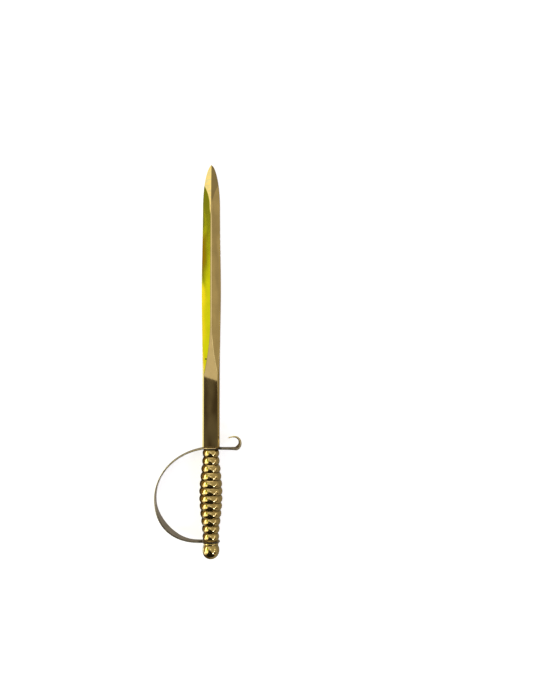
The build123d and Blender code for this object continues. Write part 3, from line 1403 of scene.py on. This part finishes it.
@dataclass(frozen=True)
class Card:
    """A studio card out of the picture: four corners in millimetres, its glow and how soft its rim is."""

    name: str
    corners: Corners
    glow: float
    colour: Colour
    rim: float = 0.12
    streak: Colour | None = None
    streak_pace: Span = (1.0, 1.0)
    streak_drift: float = 0.0
    streak_level: float = 0.5
    streak_span: Span = (0.4, 0.58)

    def build(self) -> bpy.types.Object:
        """Make the card, which lights the object and shows in its polish, and which no camera sees.

        Returns:
            The card.
        """
        mesh = flat_mesh(self.name, self.corners)
        layer = mesh.uv_layers.new(name=CARD_MAP)
        for loop, place in zip(layer.data, ((0, 0), (1, 0), (1, 1), (0, 1))):
            loop.uv = place
        mesh.materials.append(self.material())
        card = put(self.name, mesh)
        card.visible_camera = False
        card.visible_shadow = False
        return card

    def cover(self, sheet: NodeSheet, place: Wire) -> Wire:
        """Find how far the card covers a place between two of its rims.

        Args:
            sheet: The card's tree.
            place: The share of the way between them.

        Returns:
            The cover, from 0 at a rim to 1.
        """
        inner = 0.5 - abs(place - 0.5)
        settings = {"interpolation_type": "SMOOTHSTEP"}
        return sheet.out("ShaderNodeMapRange", settings, Value=inner, From_Max=self.rim)

    def material(self) -> bpy.types.Material:
        """Draw the card's glow, which fades out at its rim and may have streaks of a second tone.

        Returns:
            The material.
        """
        made = bpy.data.materials.new(self.name)
        sheet = NodeSheet.cleared(made)
        flat = sheet.out("ShaderNodeUVMap", {"uv_map": CARD_MAP})
        place = sheet.parts(flat)
        cover = self.cover(sheet, place["X"]) * self.cover(sheet, place["Y"])
        colour = (*self.colour, 1.0)
        if self.streak:
            drawn = sheet.noise(sheet.vector("MULTIPLY", flat, (*self.streak_pace, 1.0)), 1.0, 2.0)
            drawn = (place["Y"] - self.streak_level) * self.streak_drift + drawn
            colour = sheet.mix(sheet.ramp(drawn, *self.streak_span), self.colour, self.streak)
        light = sheet.out("ShaderNodeEmission", Color=colour, Strength=self.glow)
        clear = sheet.out("ShaderNodeBsdfTransparent")
        shown = sheet.in_order("ShaderNodeMixShader", {}, cover, clear, light)
        sheet.node("ShaderNodeOutputMaterial", Surface=shown)
        return made


CARDS = (
    Card("skylight_card", crosswise((-240, -60), (-60, 1100), (600, 600)), 0.66, (1.0, 0.97, 0.9), 0.06),
    Card(
        "tip_card",
        crosswise((-455, -285), (230, 620), (610, 610)),
        glow=1.15,
        colour=(0.86, 0.98, 0.98),
        rim=0.05,
        streak=(1.15, 1.1, 0.7),
        streak_pace=(30.0, 40.0),
    ),
    Card("key_card", lengthwise((-1000, -900), (-700, 700), (250, 620)), 2.8, (1.0, 0.98, 0.82)),
    Card("paper_card", lengthwise((-1050, -1050), (-185, 80), (-335, -190)), 1.0, (1.15, 1.28, 1.15), 0.1),
    Card("low_paper_card", lengthwise((-1050, -1050), (-900, -365), (-260, 200)), 1.3, (0.96, 1, 1), 0.05),
    Card("pommel_paper", crosswise((-32, 1), (-103, -90), (-1.5, -1.5)), 1.0, (1.0, 1.2, 1.7)),
    Card("wood_card", lengthwise((-1100, -1100), (-900, 900), (-420, 240)), 1, (0.25, 0.138, 0.006), 0.03),
    Card("brown_flag", lengthwise((1000, 1000), (20, -170), (120, 330)), 1.0, (0.27, 0.24, 0.16), 0.06),
    Card("dusk_card", lengthwise((760, 640), (-270, -700), (60, 640)), 1.0, (0.1, 0.075, 0.045), 0.06),
    Card("rib_card", crosswise((-50, 98), (-30, 226), (602, 602)), 1.3, (0.98, 1.0, 1.05)),
    Card("tip_shade", crosswise((-50, 100), (230, 480), (605, 605)), 0.26, (1.0, 0.94, 0.8), 0.1),
    Card(
        "wall_card",
        crosswise((105, 260), (-120, 420), (605, 605)),
        glow=1.0,
        colour=(0.36, 0.335, 0.27),
        rim=0.05,
        streak=(0.46, 0.43, 0.34),
        streak_pace=(26.0, 6.0),
    ),
    Card(
        "lime_card",
        crosswise((-880, -400), (-20, 700), (640, 640)),
        glow=1.0,
        colour=(0.24, 0.31, 0.03),
        rim=0.03,
        streak=(0.76, 0.98, 0.02),
        streak_pace=(85.0, 3.5),
        streak_drift=-0.9,
        streak_level=0.28,
    ),
    Card("olive_card", crosswise((-580, -545), (150, 232), (637, 637)), 1.0, (0.36, 0.27, 0.005), 0.2),
    Card("yellow_card", crosswise((-590, -543.5), (30, 152), (637, 637)), 1.0, (1.08, 1.15, 0.05), 0.14),
    Card("lemon_card", crosswise((-880, -400), (-700, -25), (640, 640)), 1.5, (1.0, 0.98, 0.75)),
    Card("lamp_card", crosswise((300, 470), (-530, -360), (470, 500)), 9.0, (0.9, 1.0, 1.45)),
    Card("spark_card", lengthwise((640, 600), (-290, -160), (410, 530)), 4.5, (0.95, 1.0, 1.2)),
    Card("second_spark", lengthwise((700, 680), (20, 120), (320, 430)), 4.5, (0.98, 0.98, 1.1)),
    Card("glint_card", crosswise((-105, -68), (-292, -268), (392, 408)), 0.6, (1.0, 1.0, 1.0)),
    Card("back_card", crosswise((-700, 500), (1100, 1000), (30, 600)), 1.1, (1.0, 0.97, 0.9)),
    Card(
        "dark_flag",
        ((-850, -1000, 0), (750, -1000, 0), (70, -120, 590), (-160, -120, 590)),
        glow=0.012,
        colour=(1.0, 0.85, 0.6),
        rim=0.002,
    ),
    Card(
        "apex_flag",
        ((-90, -125, 588), (20, -125, 588), (-20, 75, 588), (-50, 75, 588)),
        glow=0.012,
        colour=(1.0, 0.85, 0.6),
        rim=0.002,
    ),
    Card(
        "near_flag",
        ((-300, -150, 588), (-30, -150, 588), (-30, -33, 588), (-300, 53, 588)),
        glow=1.0,
        colour=(0.055, 0.046, 0.036),
        rim=0.006,
        streak=(0.118, 0.11, 0.094),
        streak_pace=(22.0, 4.0),
    ),
)


@dataclass
class Studio:
    """Pale floor, soft cards, the light around them and the camera."""

    cards: tuple[Card, ...] = CARDS
    camera_offset: Span = (27.74, 51.94)
    camera_height: float = 405.0
    object_plane: float = 5.0
    frame_height: float = 343.5
    sensor: float = 36.0
    clip_start: float = 10.0
    floor_size: float = 6000.0
    floor_lift: float = 0.72
    floor_tones: tuple[Colour, Colour] = ((0.88, 0.88, 0.93), (0.91, 0.91, 0.96))
    floor_grain: float = 900.0
    room: Colour = (0.41, 0.38, 0.31)
    horizon: Span = (-0.03, 0.05)
    ground_left: Colour = (0.08, 0.055, 0.03)
    ground_right: Colour = (0.25, 0.235, 0.215)
    ground_turn: Span = (-0.3, 0.05)
    backdrop: Colour = (0.93, 0.93, 0.93)

    def add_camera(self, hilt: HiltFrame) -> None:
        """Hang the camera over the object, looking straight down, with the photograph's framing.

        Args:
            hilt: The hilt's frame, from whose seat the camera is set off.
        """
        data = bpy.data.cameras.new("camera")
        data.sensor_width = self.sensor
        data.lens = self.sensor * (self.camera_height - self.object_plane) / self.frame_height
        data.clip_start = self.clip_start * MM
        camera = put("camera", data)
        seat = hilt.matrix.translation
        offset = Vector((*self.camera_offset, self.camera_height)) * MM
        camera.location = Vector((seat.x, seat.y, 0.0)) + offset
        bpy.context.scene.camera = camera

    def add_floor(self) -> bpy.types.Object:
        """Lay the pale floor. It is left out of the polish, which shows the room's tan ground instead.

        Returns:
            The floor.
        """
        side = (-self.floor_size / 2, self.floor_size / 2)
        mesh = flat_mesh("floor", crosswise(side, side, (0, 0)))
        made = bpy.data.materials.new("pale_floor")
        sheet = NodeSheet.cleared(made)
        paper = sheet.noise(sheet.out("ShaderNodeTexCoord", output="Object"), self.floor_grain, 2.0)
        matte = sheet.out(
            "ShaderNodeBsdfPrincipled",
            Base_Color=sheet.mix(paper, *self.floor_tones),
            Roughness=1.0,
            Specular_IOR_Level=0.0,
            Emission_Color=(1.0, 1.0, 1.0, 1.0),
            Emission_Strength=self.floor_lift,
        )
        sheet.node("ShaderNodeOutputMaterial", Surface=matte)
        mesh.materials.append(made)
        floor = put("floor", mesh)
        floor.visible_glossy = False
        return floor

    def add_room(self) -> None:
        """Light the room evenly above the horizon and tan below, with a pale backdrop to the camera."""
        world = bpy.data.worlds.new("room")
        sheet = NodeSheet.cleared(world)
        way = sheet.parts(sheet.out("ShaderNodeTexCoord", output="Generated"))
        ground = sheet.mix(sheet.ramp(way["X"], *self.ground_turn), self.ground_left, self.ground_right)
        air = sheet.mix(sheet.ramp(way["Z"], *self.horizon), ground, self.room)
        seen = sheet.out("ShaderNodeLightPath", output="Is Camera Ray")
        light = sheet.out("ShaderNodeBackground", Color=sheet.mix(seen, air, self.backdrop))
        sheet.node("ShaderNodeOutputWorld", Surface=light)
        bpy.context.scene.world = world

    def build(self, hilt: HiltFrame) -> None:
        """Set up the whole studio.

        Args:
            hilt: The hilt's frame.
        """
        bpy.context.scene.view_settings.view_transform = "Standard"
        self.add_camera(hilt)
        self.add_room()
        staged = [self.add_floor(), *(card.build() for card in self.cards)]


def main() -> None:
    """Build the opener's pieces in order, then the studio."""
    logging.basicConfig(level=logging.INFO, format="%(name)s: %(message)s")
    hilt = HiltFrame.from_record(frame["record"])
    effects = Effects()
    turned = TURNED_BRASS.material(hilt, effects)
    pieces = (
        Blade(BLADE_BRASS.material(hilt, effects)),
        Guard(STRIP_BRASS.material(hilt, effects)),
        Grip(turned),
        Pommel(turned),
    )
    for piece in pieces:
        made = piece.build(hilt)
        log.info("%s: %d faces, finish %s", made.name, len(made.data.polygons), piece.finish.slot)
    Studio().build(hilt)


if __name__ == "__main__":
    main()
